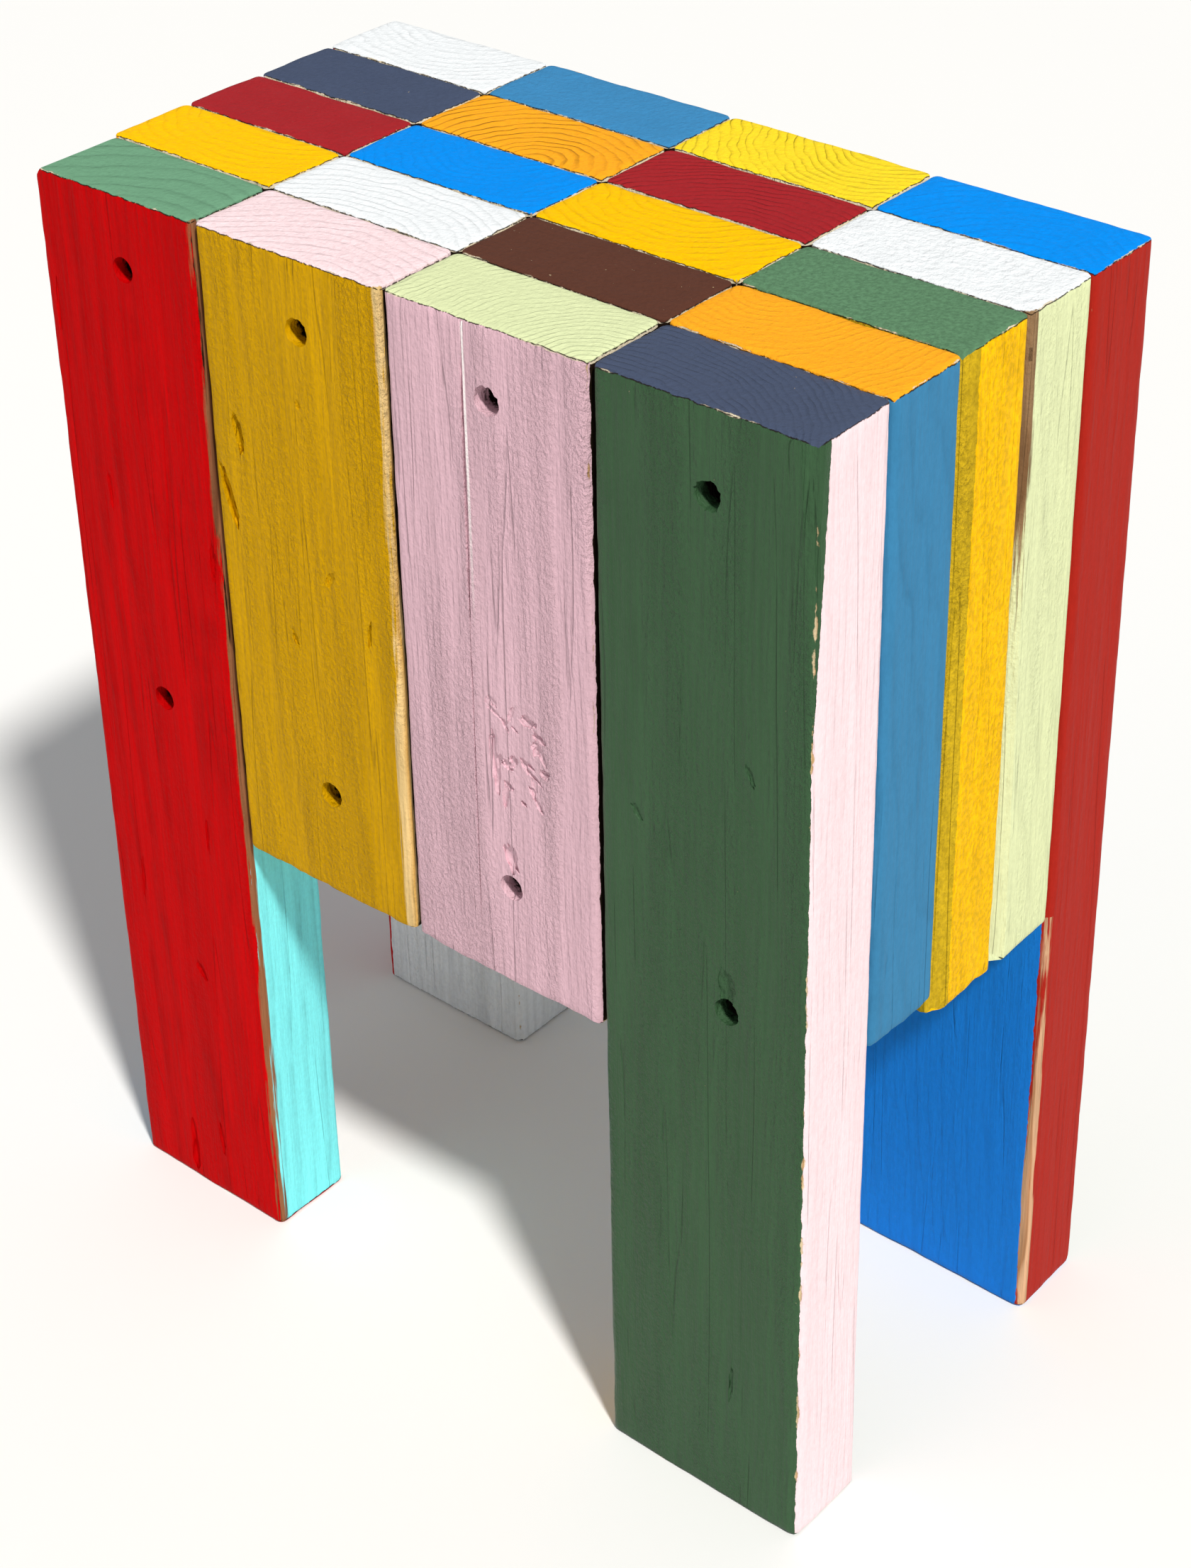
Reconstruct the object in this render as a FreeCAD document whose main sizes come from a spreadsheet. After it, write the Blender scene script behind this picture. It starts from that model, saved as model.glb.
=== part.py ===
import FreeCAD, Part
import os
import Sketcher

# A low stool made of upright softwood blocks, four columns across and five rows deep.
# Its four corner blocks are longer and serve as legs. Each row is screwed to the row behind it
# through counterbored holes, and dowels tie the columns together edge to edge.
# Frame: millimetres, +Z up, +Y to the back, +X to the right seen from the front.
# The origin is on the floor, under the middle of the stool.

SIZES = [
    # (alias, value in millimetres or a count, what it is)
    ("board_width", 89, "wide side of a standard block"),
    ("board_thickness", 38, "narrow side of every block"),
    ("narrow_board_width", 82, "wide side of the blocks in the left column"),
    ("leg_length", 457, "length of a corner block, and height of the stool"),
    ("block_length", 262, "length of a block that doesn't reach the floor"),
    ("trimmed_length", 252, "length of the one block that was cut shorter"),
    ("arris_radius", 3.2, "rounding of a block's long edges"),
    ("end_radius", 0.8, "rounding of the edges of a sawn end"),
    ("counterbore_diameter", 9.5, "wide mouth of a screw hole"),
    ("counterbore_depth", 19, "depth of the wide mouth, to the seat of the screw's head"),
    ("clearance_diameter", 4.8, "hole that the screw's shank passes through"),
    ("screw_diameter", 4.2, "outside of the thread, and size of the pilot hole"),
    ("screw_length", 50, "screw from under its head to its point"),
    ("screw_point_length", 7, "tapered end of the screw"),
    ("head_diameter", 8.4, "pan head of the screw"),
    ("head_height", 3, "height of the pan head"),
    ("head_edge_radius", 1.2, "rounding of the pan head"),
    ("drive_diameter", 3.6, "drive recess in the head"),
    ("drive_depth", 1.9, "depth of the drive recess"),
    ("point_room", 2, "hole left past the screw's point"),
    ("inner_screw_shift", 16, "how far the second and fourth rows' screws stand left of centre"),
    ("inner_upper_drop", 45, "depth of those rows' upper screws below the top"),
    ("inner_lower_drop", 200, "depth of those rows' lower screws below the top"),
    ("dowel_diameter", 10, "dowel between two columns"),
    ("dowel_length", 50, "half of it in each block"),
    ("dowel_end_chamfer", 1, "bevel on a dowel's ends"),
    ("upper_dowel_drop", 75, "depth of the upper dowels below the top"),
    ("lower_dowel_drop", 160, "depth of the lower dowels below the top"),
]

# The front row's holes were drilled by eye: how far right of the column's centre, and how far below the top.
FRONT_HOLES = {
    "outer_left": {"upper": (3, 29), "lower": (1, 210)},
    "inner_left": {"upper": (4, 28), "lower": (4.5, 217)},
    "inner_right": {"upper": (1, 27), "lower": (4, 219)},
    "outer_right": {"upper": (2.5, 31), "lower": (11, 227)},
}

COLUMNS = ["outer_left", "inner_left", "inner_right", "outer_right"]
ROWS = ["front", "second", "middle", "fourth", "back"]
CORNER_NAMES = {
    ("front", "outer_left"): "front_left_leg",
    ("front", "outer_right"): "front_right_leg",
    ("back", "outer_left"): "back_left_leg",
    ("back", "outer_right"): "back_right_leg",
}
TRIMMED_BLOCK = ("second", "outer_right")
LEVELS = ["upper", "lower"]

doc = FreeCAD.newDocument("BlockStool")


def make_size_sheet():
    """Every driving size of the stool, one to a row, with a one-word alias."""
    sheet = doc.addObject("Spreadsheet::Sheet", "sizes")
    rows = list(SIZES)
    for column in COLUMNS:
        for level in LEVELS:
            shift, drop = FRONT_HOLES[column][level]
            rows.append((hole_alias("shift", column, level), shift, "front hole, right of centre"))
            rows.append((hole_alias("drop", column, level), drop, "front hole, below the top"))
    for number, (alias, value, meaning) in enumerate(rows, start=1):
        sheet.set("A%d" % number, alias)
        sheet.set("B%d" % number, str(value))
        sheet.set("C%d" % number, meaning)
        sheet.setAlias("B%d" % number, alias)
    doc.recompute()
    return sheet


def hole_alias(kind, column, level):
    return "%s_%s_%s" % (column, level, kind)


def size(alias):
    """A size's name as expressions write it."""
    return "sizes." + alias


def node_name(row, column):
    if (row, column) in CORNER_NAMES:
        return CORNER_NAMES[(row, column)]
    return "%s_row_%s_block" % (row, column)


def width_of(column):
    return size("narrow_board_width") if column == "outer_left" else size("board_width")


def length_of(row, column):
    if (row, column) in CORNER_NAMES:
        return size("leg_length")
    if (row, column) == TRIMMED_BLOCK:
        return size("trimmed_length")
    return size("block_length")


def left_face_of(column):
    """X of a column's left face. The four columns together are centred on the origin."""
    half_stool = "(%s + 3 * %s) / 2" % (size("narrow_board_width"), size("board_width"))
    place = COLUMNS.index(column)
    if place == 0:
        return "-" + half_stool
    return "-%s + %s + %d * %s" % (
        half_stool, size("narrow_board_width"), place - 1, size("board_width"))


def column_centre(column):
    return "%s + %s / 2" % (left_face_of(column), width_of(column))


def row_centre(row):
    steps_from_middle = ROWS.index(row) - 2
    return "%d * %s" % (steps_from_middle, size("board_thickness"))


def row_front_face(row):
    return "%s - %s / 2" % (row_centre(row), size("board_thickness"))


def screw_places(row, column):
    """The two screws driven through a block of this row: each is its shift right of the column's
    centre and its drop below the top. Neighbouring rows take different places, so that no screw meets
    the one that was driven before it."""
    if row in ("front", "middle"):
        return [(size(hole_alias("shift", column, level)), size(hole_alias("drop", column, level)))
                for level in LEVELS]
    return [("-" + size("inner_screw_shift"), size("inner_%s_drop" % level)) for level in LEVELS]


def origin_plane(body, role):
    for feature in body.Origin.OriginFeatures:
        if feature.Role == role:
            return feature
    raise ValueError("no plane " + role)


def attached_sketch(body, name, role, offset=None):
    """A sketch on one of the body's own planes, moved along the plane's normal by an expression."""
    sketch = body.newObject("Sketcher::SketchObject", name)
    sketch.AttachmentSupport = (origin_plane(body, role), [""])
    sketch.MapMode = "FlatFace"
    if offset:
        sketch.setExpression("AttachmentOffset.Base.z", offset)
    return sketch


def draw_centred_rectangle(sketch, width, height):
    """A rectangle about the sketch's origin, bound to two expressions."""
    corners = [(-10, -5), (10, -5), (10, 5), (-10, 5)]
    for first, second in zip(corners, corners[1:] + corners[:1]):
        sketch.addGeometry(Part.LineSegment(FreeCAD.Vector(*first, 0), FreeCAD.Vector(*second, 0)))
    for line in range(4):
        sketch.addConstraint(Sketcher.Constraint("Coincident", line, 2, (line + 1) % 4, 1))
    for line in (0, 2):
        sketch.addConstraint(Sketcher.Constraint("Horizontal", line))
    for line in (1, 3):
        sketch.addConstraint(Sketcher.Constraint("Vertical", line))
    sketch.addConstraint(Sketcher.Constraint("Symmetric", 0, 1, 1, 2, -1, 1))
    wide = sketch.addConstraint(Sketcher.Constraint("DistanceX", 0, 1, 0, 2, 20))
    high = sketch.addConstraint(Sketcher.Constraint("DistanceY", 1, 1, 1, 2, 10))
    sketch.setExpression("Constraints[%d]" % wide, width)
    sketch.setExpression("Constraints[%d]" % high, height)


def draw_circle(sketch, right, drop, diameter):
    """A circle at an expression right of the sketch's origin and another below it."""
    circle = sketch.addGeometry(Part.Circle(FreeCAD.Vector(1, -9, 0), FreeCAD.Vector(0, 0, 1), 2))
    across = sketch.addConstraint(Sketcher.Constraint("DistanceX", -1, 1, circle, 3, 1))
    below = sketch.addConstraint(Sketcher.Constraint("DistanceY", circle, 3, -1, 1, 9))
    wide = sketch.addConstraint(Sketcher.Constraint("Diameter", circle, 4))
    sketch.setExpression("Constraints[%d]" % across, right)
    sketch.setExpression("Constraints[%d]" % below, drop)
    sketch.setExpression("Constraints[%d]" % wide, diameter)


def bore(body, name, role, offset, places, diameter, depth, reverse=False):
    """Round holes of one size and depth, in from one face of the body."""
    sketch = attached_sketch(body, name + "_circles", role, offset)
    for right, drop in places:
        draw_circle(sketch, right, drop, diameter)
    pocket = body.newObject("PartDesign::Pocket", name)
    pocket.Profile = sketch
    pocket.Reversed = reverse
    pocket.setExpression("Length", depth)
    return pocket


def dowel_places():
    return [("0", size("upper_dowel_drop")), ("0", size("lower_dowel_drop"))]


def long_edge(edge):
    return edge.BoundBox.ZLength > 1


def end_edge(edge):
    return edge.BoundBox.ZLength < 0.001


def round_edges(body, ending, solid, radius, chosen):
    """Rounds the edges of a solid that pass a test."""
    doc.recompute()
    edges = ["Edge%d" % number for number, edge in enumerate(solid.Shape.Edges, start=1) if chosen(edge)]
    rounding = body.newObject("PartDesign::Fillet", body.Name + ending)
    rounding.Base = (solid, edges)
    rounding.setExpression("Radius", radius)
    return rounding


def make_block(row, column):
    """One block as a body: its own origin is the middle of its top face."""
    body = doc.addObject("PartDesign::Body", node_name(row, column))
    body.Label = node_name(row, column)

    section = attached_sketch(body, body.Name + "_section", "XY_Plane")
    draw_centred_rectangle(section, width_of(column), size("board_thickness"))
    pad = body.newObject("PartDesign::Pad", body.Name + "_pad")
    pad.Profile = section
    pad.Reversed = True
    pad.setExpression("Length", length_of(row, column))

    long_arrises = round_edges(body, "_arrises", pad, size("arris_radius"), long_edge)
    round_edges(body, "_end_edges", long_arrises, size("end_radius"), end_edge)

    front = size("board_thickness") + " / 2"
    if row != ROWS[-1]:
        places = screw_places(row, column)
        bore(body, body.Name + "_counterbores", "XZ_Plane", front, places,
             size("counterbore_diameter"), size("counterbore_depth"))
        bore(body, body.Name + "_clearances", "XZ_Plane", front, places,
             size("clearance_diameter"), size("board_thickness"))
    if row != ROWS[0]:
        row_before = ROWS[ROWS.index(row) - 1]
        reach = "%s + %s - %s + %s" % (size("counterbore_depth"), size("screw_length"),
                                       size("board_thickness"), size("point_room"))
        bore(body, body.Name + "_pilots", "XZ_Plane", front, screw_places(row_before, column),
             size("screw_diameter"), reach)

    half_width = width_of(column) + " / 2"
    half_dowel = size("dowel_length") + " / 2"
    if column != COLUMNS[0]:
        bore(body, body.Name + "_left_dowel_holes", "YZ_Plane", "-" + half_width, dowel_places(),
             size("dowel_diameter"), half_dowel, reverse=True)
    if column != COLUMNS[-1]:
        bore(body, body.Name + "_right_dowel_holes", "YZ_Plane", half_width, dowel_places(),
             size("dowel_diameter"), half_dowel)

    body.setExpression("Placement.Base.x", column_centre(column))
    body.setExpression("Placement.Base.y", row_centre(row))
    body.setExpression("Placement.Base.z", size("leg_length"))
    return body


def make_screw_profile():
    """Half of a pan-head screw's section. The screw lies along +Y with the seat of its head at zero."""
    sketch = doc.addObject("Sketcher::SketchObject", "screw_profile")
    head_radius = size("head_diameter") + " / 2"
    shank_radius = size("screw_diameter") + " / 2"
    drive_radius = size("drive_diameter") + " / 2"
    head_top = "-" + size("head_height")
    drive_floor = head_top + " + " + size("drive_depth")
    taper_start = size("screw_length") + " - " + size("screw_point_length")
    # Corners in order, each an expression outward from the axis and one along it, with a rough first place.
    corners = [
        ("0", size("screw_length"), (0, 50)),
        (shank_radius, taper_start, (2.1, 43)),
        (shank_radius, "0", (2.1, 0)),
        (head_radius, "0", (4.2, 0)),
        (head_radius, head_top + " + " + size("head_edge_radius"), (4.2, -1.8)),
        (head_radius + " - " + size("head_edge_radius"), head_top, (3, -3)),
        (drive_radius, head_top, (1.8, -3)),
        (drive_radius, drive_floor, (1.8, -1.1)),
        ("0", drive_floor, (0, -1.1)),
    ]
    count = len(corners)
    rounded = 4
    points = [FreeCAD.Vector(x, y, 0) for _, _, (x, y) in corners]
    for place in range(count):
        start, end = points[place], points[(place + 1) % count]
        if place == rounded:
            bulge = FreeCAD.Vector(start.x - 0.35, end.y + 0.35, 0)
            sketch.addGeometry(Part.Arc(end, bulge, start))
        else:
            sketch.addGeometry(Part.LineSegment(start, end))
    # The arc runs from the head's top to its side, so its start and end swap places with a line's.
    for place in range(count):
        leaves_by = 1 if place == rounded else 2
        following = (place + 1) % count
        enters_by = 2 if following == rounded else 1
        sketch.addConstraint(Sketcher.Constraint("Coincident", place, leaves_by, following, enters_by))
    arc_radius = sketch.addConstraint(Sketcher.Constraint("Radius", rounded, 1.2))
    sketch.setExpression("Constraints[%d]" % arc_radius, size("head_edge_radius"))
    for place, (outward, along, _) in enumerate(corners):
        point = 2 if place == rounded else 1
        across = sketch.addConstraint(
            Sketcher.Constraint("DistanceX", -1, 1, place, point, points[place].x))
        up = sketch.addConstraint(
            Sketcher.Constraint("DistanceY", -1, 1, place, point, points[place].y))
        sketch.setExpression("Constraints[%d]" % across, outward)
        sketch.setExpression("Constraints[%d]" % up, along)
    return sketch


def make_screw(profile, name, row, column, shift, drop):
    """One screw, turned from the shared profile and set in its hole."""
    screw = doc.addObject("Part::Revolution", name)
    screw.Source = profile
    screw.Axis = (0, 1, 0)
    screw.Base = (0, 0, 0)
    screw.Angle = 360
    screw.Solid = True
    screw.setExpression("Placement.Base.x", "%s + %s" % (column_centre(column), shift))
    screw.setExpression("Placement.Base.y", "%s + %s" % (row_front_face(row), size("counterbore_depth")))
    screw.setExpression("Placement.Base.z", "%s - %s" % (size("leg_length"), drop))
    return screw


def make_screw_row(profile, row):
    """All the screws driven through one row, as one node of separate solids."""
    group = doc.addObject("Part::Compound", row + "_row_screws")
    group.Label = row + "_row_screws"
    screws = []
    for column in COLUMNS:
        for level, (shift, drop) in zip(LEVELS, screw_places(row, column)):
            name = "%s_%s_%s_screw" % (row, column, level)
            screws.append(make_screw(profile, name, row, column, shift, drop))
    group.Links = screws
    return group


def make_dowel(name, column, row, drop):
    """One dowel across the joint on the right of a column."""
    pin = doc.addObject("Part::Cylinder", name + "_pin")
    pin.setExpression("Radius", size("dowel_diameter") + " / 2")
    pin.setExpression("Height", size("dowel_length"))
    pin.Placement = FreeCAD.Placement(FreeCAD.Vector(), FreeCAD.Rotation(FreeCAD.Vector(0, 1, 0), 90))
    joint_face = "%s + %s" % (left_face_of(column), width_of(column))
    pin.setExpression("Placement.Base.x", "%s - %s / 2" % (joint_face, size("dowel_length")))
    pin.setExpression("Placement.Base.y", row_centre(row))
    pin.setExpression("Placement.Base.z", "%s - %s" % (size("leg_length"), drop))
    doc.recompute()
    dowel = doc.addObject("Part::Chamfer", name)
    dowel.Base = pin
    chamfer = sheet.get("dowel_end_chamfer")
    rims = [number for number, edge in enumerate(pin.Shape.Edges, start=1) if edge.Closed]
    dowel.Edges = [(number, chamfer, chamfer) for number in rims]
    return dowel


def make_dowel_joint(joint_name, column):
    """All the dowels across one joint between two columns, as one node of separate solids."""
    group = doc.addObject("Part::Compound", joint_name + "_joint_dowels")
    group.Label = joint_name + "_joint_dowels"
    dowels = []
    for row in ROWS:
        for level in LEVELS:
            name = "%s_%s_%s_dowel" % (joint_name, row, level)
            dowels.append(make_dowel(name, column, row, size("%s_dowel_drop" % level)))
    group.Links = dowels
    return group


def check_document():
    """Stops on any object that failed without saying so."""
    for thing in doc.Objects:
        bad = [state for state in thing.State if state in ("Invalid", "Error")]
        if bad:
            raise RuntimeError("%s is %s" % (thing.Name, bad))


def check_nodes(nodes):
    for node in nodes:
        if node.Shape.isNull() or not node.Shape.isValid():
            raise RuntimeError(node.Label + " has no valid shape")


def check_cuts(blocks):
    """Every pocket has to take material away."""
    for block in blocks:
        before = None
        for feature in block.Group:
            if feature.isDerivedFrom("PartDesign::Feature"):
                volume = feature.Shape.Volume
                if before is not None and volume >= before:
                    raise RuntimeError(feature.Name + " cut nothing")
                before = volume


sheet = make_size_sheet()
blocks = [make_block(row, column) for row in ROWS for column in COLUMNS]
screw_profile = make_screw_profile()
screw_rows = [make_screw_row(screw_profile, row) for row in ROWS[:-1]]
dowel_joints = [
    make_dowel_joint("left", "outer_left"),
    make_dowel_joint("centre", "inner_left"),
    make_dowel_joint("right", "inner_right"),
]
doc.recompute()

nodes = blocks + screw_rows + dowel_joints
check_document()
check_nodes(nodes)
check_cuts(blocks)

os.makedirs("parts", exist_ok=True)
for node in nodes:
    node.Shape.exportStep("parts/%s.step" % node.Label)
    print("%-34s %2d solid(s) %10.1f mm3" % (node.Label, len(node.Shape.Solids), node.Shape.Volume))
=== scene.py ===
import math
import random

import bmesh
import bpy
from mathutils import Euler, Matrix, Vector, noise


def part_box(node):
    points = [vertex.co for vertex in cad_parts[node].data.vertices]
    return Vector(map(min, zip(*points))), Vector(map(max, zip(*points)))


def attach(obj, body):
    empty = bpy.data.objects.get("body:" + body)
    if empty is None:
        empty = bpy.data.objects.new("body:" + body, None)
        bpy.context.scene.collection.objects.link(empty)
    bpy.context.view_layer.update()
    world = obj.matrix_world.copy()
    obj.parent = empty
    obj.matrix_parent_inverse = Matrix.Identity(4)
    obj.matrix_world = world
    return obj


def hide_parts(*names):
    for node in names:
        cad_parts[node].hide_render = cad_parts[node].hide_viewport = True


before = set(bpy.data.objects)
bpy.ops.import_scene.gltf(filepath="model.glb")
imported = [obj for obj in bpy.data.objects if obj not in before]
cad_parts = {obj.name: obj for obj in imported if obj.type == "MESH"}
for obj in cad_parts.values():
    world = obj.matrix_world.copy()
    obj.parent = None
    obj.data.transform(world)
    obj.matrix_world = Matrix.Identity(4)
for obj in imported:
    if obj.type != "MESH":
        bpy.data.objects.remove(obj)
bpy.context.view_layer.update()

mm = 0.001

# every paint on the stool, as sRGB hex, with darker copies of some of them, which are painted shade
paints = {
    "sage": "#6F9F7F",
    "palePink": "#F8DDE1",
    "paleGreen": "#DDE6B4",
    "navy": "#46516A",
    "golden": "#FFC400",
    "white": "#F0F4F7",
    "brown": "#5C382C",
    "orange": "#FFAC22",
    "darkRed": "#A4242A",
    "brightBlue": "#008EF2",
    "leafGreen": "#5C8463",
    "steelBlue": "#3E88BC",
    "lemon": "#FFDE2A",
    "red": "#C20407",
    # the golden paint, darkened: painted shade
    "goldenInShade": "#CC9A00",
    # the pale pink paint, darkened: painted shade
    "palePinkInShade": "#DDB6C1",
    "forest": "#38583A",
    "brick": "#A92419",
    "turquoise": "#84F1F5",
    # the bright blue paint, darkened: painted shade
    "brightBlueInShade": "#197CDC",
    # near-black: dirty bare wood with painted shade, in the joints and deep in the screw holes
    "joint": "#20160F",
    # the golden paint, darkened for the wane that faces away from the light: painted shade
    "goldenWaneInShade": "#C8A51C",
    "sideGolden": "#F8BE00",
    "sideGreen": "#DDE4B2",
    "sideSteel": "#3B80AB",
}

# the stool's own layout, row by row from the front and column by column from the left
rows = ["front", "second", "middle", "fourth", "back"]
columns = ["outer_left", "inner_left", "inner_right", "outer_right"]
corners = {
    ("front", "outer_left"): "front_left_leg",
    ("front", "outer_right"): "front_right_leg",
    ("back", "outer_left"): "back_left_leg",
    ("back", "outer_right"): "back_right_leg",
}


def linearColour(hexCode):
    channels = []
    for start in (1, 3, 5):
        value = int(hexCode[start:start + 2], 16) / 255
        channels.append(value / 12.92 if value <= 0.04045 else ((value + 0.055) / 1.055) ** 2.4)
    return (*channels, 1.0)


def addNode(tree, kind, sockets=(), output=0, **settings):
    # adds a node with its settings and with values or links in its sockets, named or in order, and gives
    # back one of its outputs, or the node itself where output is None
    made = tree.nodes.new("ShaderNode" + kind)
    for name, value in settings.items():
        setattr(made, name, value)
    named = sockets if isinstance(sockets, dict) else dict(enumerate(sockets))
    for socket, value in named.items():
        if isinstance(value, bpy.types.NodeSocket):
            tree.links.new(value, made.inputs[socket])
        else:
            made.inputs[socket].default_value = value
    return made if output is None else made.outputs[output]


def newMaterial(name):
    material = bpy.data.materials.new(name)
    material.use_nodes = True
    material.node_tree.nodes.clear()
    return material, material.node_tree


def nodeName(row, column):
    return corners.get((row, column), f"{row}_row_{column}_block")


def onlySelect(piece):
    bpy.ops.object.select_all(action="DESELECT")
    piece.select_set(True)
    bpy.context.view_layer.objects.active = piece


# paint on softwood

enamelOnPine = {
    "scatter": (171.3, 57.7, 331.1),  # mm from one block's part of every pattern to the next block's
    "edgeRagged": 1.9,  # mm the brushed edge of a paint wanders
    "rimWear": (0.9, 1.7),  # mm, least and most, that the paint is lost round a sawn end
    "arrisRub": (1.2, 2.5),  # mm, the same along a rounded arris, measured past its crest
    "seamLineWidth": 0.4,  # mm of the dark ragged line where two paints meet
    "endRings": 0.35,  # mm the latewood stands proud on a sawn end
    "sideRings": 0.09,  # mm the latewood stands proud on a planed side
    "ringWander": 16,  # mm the rings stray from true circles
    "ringProfile": ((0.5, 0.1), (0.84, 1.0), (0.95, 0.2)),  # how the wood hardens across one ring
    "fibreRelief": 0.3,  # mm
    "brushRelief": 0.5,  # mm
    "grainRelief": 0.75,  # mm of the rough, sandy bands
    "edgeGrain": 0.4,  # how much of that roughness the narrow faces keep
    "endSand": 0.3,  # mm, the same roughness on the sawn ends
    "lineRelief": 0.25,  # mm deep, the long hairline checks
    "paintThickness": 0.2,  # mm, drawn thicker than a real film, which wouldn't show
    "holePaint": (3.0, 6.5),  # mm, least and most, that the brush reached into a screw hole; past it the wall is near-black, bare wood and painted shade
    "filmRough": 0.5,
    "bareRough": 0.85,
    "specular": 0.05,  # a film this weathered reflects little
    "streakTone": 0.1,  # how much the streaks along the grain darken and lighten the paint
    "lineTone": 0.12,  # how much darker the hairline checks are
    "mottleTone": 0.03,  # how much the fine speckle darkens and lightens it
    "narrowTone": 0.4,  # how much of all that unevenness the narrow faces keep
    "broadRelief": 1.6,  # how much stronger all relief is on the broad faces
    "endTone": 0.16,  # how much darker the film looks over the latewood
    "sideTone": 0.06,
    "darkJointDepth": 2.6,  # mm down from the top, where a joint turns near-black: dirt and painted shade
    # a near-white line along a lip of paint: a painted highlight
    "lipHighlight": "#FDF1F0",
    # the dark ragged line where two paints meet
    "seamDark": "#1E1511",
    "rimWood": "#E9DCC0",
    "earlywood": "#E2CCA4",
    "latewood": "#B98D5C",
}

brushAndGrain = {
    # mm across the block, mm through it and mm along it, and how much finer detail lies inside
    "fibre": ((1.7, 1.7, 50), 4.0),  # a real fibre is finer, but wouldn't show
    "streak": ((7, 7, 170), 5.0),
    "band": ((22, 22, 250), 2.0),
    "sandy": ((1.7, 1.7, 2.4), 3.0),
    "brush": ((3.3, 3.3, 25), 3.0),
    "fleck": ((2, 2, 2.5), 3.0),
    "patch": ((17, 17, 20), 4.0),
    "checks": ((10, 10, 285), 1.0),
    "brushEdge": ((5, 5, 6.3), 5.0),
    "ringWobble": ((45, 45, 200), 3.0),
}


def paintedPine(name, low, high, look):
    # brushed enamel on planed pine: an even film with streaks, checks and sandy bands, the grain showing
    # through it, and dull bare wood where the arrises have rubbed through
    recipe = dict(enamelOnPine, **look["finish"])
    material, tree = newMaterial(name)
    centre = (low + high) / 2 / mm
    half = (high - low) / 2 / mm
    scatter = [look["seed"] * stride for stride in recipe["scatter"]]
    place = addNode(tree, "TexCoord", output="Object")
    inMillimetres = (1 / mm, 1 / mm, 1 / mm)
    local = addNode(tree, "Mapping", {"Vector": place, "Location": -centre, "Scale": inMillimetres})
    scattered = addNode(tree, "Mapping", {"Vector": place, "Location": scatter, "Scale": inMillimetres})

    # a pattern's levels lie mostly between 0.3 and 0.7, which is why the ranges below start and end there
    patterns = {}
    for mark, (extent, detail) in brushAndGrain.items():
        frequency = [1 / millimetres for millimetres in extent]
        spot = addNode(tree, "VectorMath", (scattered, frequency), operation="MULTIPLY")
        patterns[mark] = addNode(tree, "TexNoise", {
            "Vector": spot, "Scale": 1.0, "Detail": detail, "Roughness": 0.62}, None).outputs
    fibre, streak, band, sandy, brush, fleck, patch, checks = [patterns[mark]["Fac"] for mark in (
        "fibre", "streak", "band", "sandy", "brush", "fleck", "patch", "checks")]

    # how deep a point lies under each pair of faces, with a ragged brush line
    offCentre = addNode(tree, "VectorMath", (local,), operation="ABSOLUTE")
    depth = addNode(tree, "VectorMath", (half, offCentre), operation="SUBTRACT")
    wander = [recipe["edgeRagged"]] * 3
    ragged = addNode(tree, "VectorMath", (patterns["brushEdge"]["Color"], wander, depth),
                     operation="MULTIPLY_ADD")
    under = addNode(tree, "SeparateXYZ", (ragged,), None).outputs
    side = addNode(tree, "SeparateXYZ", (local,), None).outputs

    # one colour for each face of the block; a face against its neighbour was never painted: bare wood near
    # the top, near-black deeper in, dirty wood and painted shade
    joined = addNode(tree, "Math", (side["Z"], look["apron"]), operation="GREATER_THAN")
    deepInJoint = addNode(tree, "Math", (under["Z"], recipe["darkJointDepth"]), operation="GREATER_THAN")
    jointWoodAndShade = addNode(tree, "Mix", {
        "Factor": deepInJoint, "A": linearColour(recipe["rimWood"]), "B": linearColour(paints["joint"])},
        "Result", data_type="RGBA")
    faceColours = {face: linearColour(paints[paintName]) for face, paintName in look["faces"].items()}
    for face in look["joints"]:
        faceColours[face] = addNode(tree, "Mix", {
            "Factor": joined, "A": faceColours[face], "B": jointWoodAndShade}, "Result", data_type="RGBA")
    pairColours = {}
    for axis, near, far in (("X", "left", "right"), ("Y", "front", "back"), ("Z", "bottom", "top")):
        isFar = addNode(tree, "Math", (side[axis], 0.0), operation="GREATER_THAN")
        pairColours[axis] = addNode(tree, "Mix", {
            "Factor": isFar, "A": faceColours[near], "B": faceColours[far]}, "Result", data_type="RGBA")

    # which pair of faces a point belongs to, and how far the paint of one laps round onto the next
    nearSide = addNode(tree, "Math", (under["X"], under["Y"]), operation="MINIMUM")
    farSide = addNode(tree, "Math", (under["X"], under["Y"]), operation="MAXIMUM")
    lap = addNode(tree, "Math", (under["Z"], look["topLap"]), operation="SUBTRACT")
    isEnd = addNode(tree, "Math", (lap, nearSide), operation="LESS_THAN")
    waneWide, waneHigh = look["waneLap"]
    frontLap = addNode(tree, "MapRange", (
        side["Z"], half.z - waneHigh, half.z, look["frontLap"], look["frontLap"] + waneWide))
    isBehind = addNode(tree, "Math", (side["Y"], 0.0), operation="GREATER_THAN")
    broadLap = addNode(tree, "Mix", {"Factor": isBehind, "A": frontLap, "B": look["backLap"]}, "Result")
    broadDepth = addNode(tree, "Math", (under["Y"], broadLap), operation="SUBTRACT")
    isBroad = addNode(tree, "Math", (broadDepth, under["X"]), operation="LESS_THAN")
    paint = addNode(tree, "Mix", {
        "Factor": isBroad, "A": pairColours["X"], "B": pairColours["Y"]}, "Result", data_type="RGBA")
    paint = addNode(tree, "Mix", {
        "Factor": isEnd, "A": paint, "B": pairColours["Z"]}, "Result", data_type="RGBA")

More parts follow.
